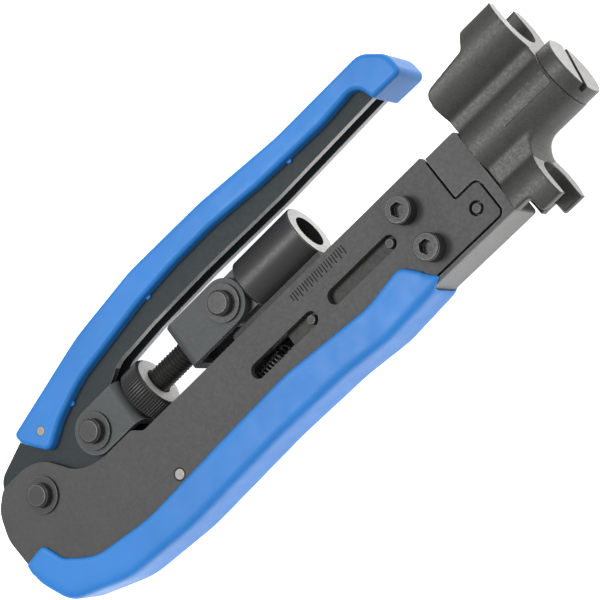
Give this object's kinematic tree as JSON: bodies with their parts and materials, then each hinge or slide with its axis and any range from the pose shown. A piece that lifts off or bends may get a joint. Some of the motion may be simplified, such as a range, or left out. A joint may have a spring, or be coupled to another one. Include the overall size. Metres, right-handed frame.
{
  "type": "coaxial compression crimping tool",
  "caption": "Hand compression crimping tool with a hinged handle, toggle link, knurled adjusting nut, sliding plunger and a turning die head with side-loading cups.",
  "frame": {"origin": "centre of the plunger's socket mouth with the handles closed", "axes": "+X along the crimp axis from the tail to the die head, out of the socket; +Y towards the moving handle; +Z out of the front plate, the tool lying on its back"},
  "size_m": [0.2332, 0.0781, 0.0246],
  "materials": {
    "black_steel": "black oxide, satin",
    "cast_steel": "blackened cast steel, fine grain",
    "bright_steel": "turned",
    "spring_steel": "drawn wire",
    "blue_plastic": "smooth moulded"
  },
  "bodies": {
    "frame": {"front_plate": "black_steel", "rear_plate": "black_steel", "head_block": "black_steel", "spine": "black_steel", "lower_grip": "blue_plastic", "cap_screw_1": "black_steel", "cap_screw_2": "black_steel", "hex_nut_1": "black_steel", "hex_nut_2": "black_steel", "head_dowel": "bright_steel", "spring_anchor_pin": "bright_steel", "return_spring": "spring_steel", "detent_ball": "bright_steel", "detent_spring": "spring_steel", "main_pivot_pin": "black_steel", "main_washer_front": "black_steel", "main_washer_rear": "black_steel", "turret_screw": "black_steel"},
    "handle": {"lever": "black_steel", "upper_grip": "blue_plastic", "grip_rivet": "bright_steel"},
    "yoke": {"rear_yoke": "black_steel", "link_pivot_pin": "black_steel", "link_washer_front": "black_steel", "link_washer_rear": "black_steel"},
    "thumb_nut": {"adjusting_nut": "bright_steel", "nut_clip": "spring_steel"},
    "rod": {"threaded_rod": "black_steel", "front_fork": "black_steel", "fork_pivot_pin": "black_steel", "fork_washer_front": "black_steel", "fork_washer_rear": "black_steel"},
    "ram": {"plunger": "bright_steel", "carriage": "black_steel", "guide_pin_1": "bright_steel", "guide_pin_2": "bright_steel"},
    "turret": {"die_turret": "cast_steel"}
  },
  "joints": [
    {"name": "lever_hinge", "type": "hinge", "parent": "frame", "child": "handle", "pos_m": [-0.121, -0.0028, 0], "axis": [0, 0, 1], "range_deg": [0, 50], "deforming": ["return_spring"]},
    {"name": "yoke_pivot", "type": "hinge", "parent": "handle", "child": "yoke", "pos_m": [-0.093, 0, 0], "axis": [0, 0, 1], "range_deg": [-70.7, 0]},
    {"name": "nut_turn", "type": "hinge", "parent": "yoke", "child": "thumb_nut", "pos_m": [-0.0732, 0, 0], "axis": [1, 0, 0], "range_deg": [-202, 231]},
    {"name": "rod_slide", "type": "slide", "parent": "yoke", "child": "rod", "axis": [1, 0, 0], "range_m": [-0.0008, 0.0007]},
    {"name": "plunger_pivot", "type": "hinge", "parent": "rod", "child": "ram", "pos_m": [-0.033, 0, 0], "axis": [0, 0, 1], "range_deg": [0, 20.7]},
    {"name": "turret_spin", "type": "hinge", "parent": "frame", "child": "turret", "pos_m": [0.072, -0.021, 0], "axis": [1, 0, 0], "continuous": true}
  ],
  "couplings": [
    {"joint": "yoke_pivot", "follows": "lever_hinge", "ratio": -1.412},
    {"joint": "plunger_pivot", "follows": "lever_hinge", "ratio": 0.412},
    {"joint": "nut_turn", "follows": "rod_slide", "rad_per_m": -5026.5}
  ]
}
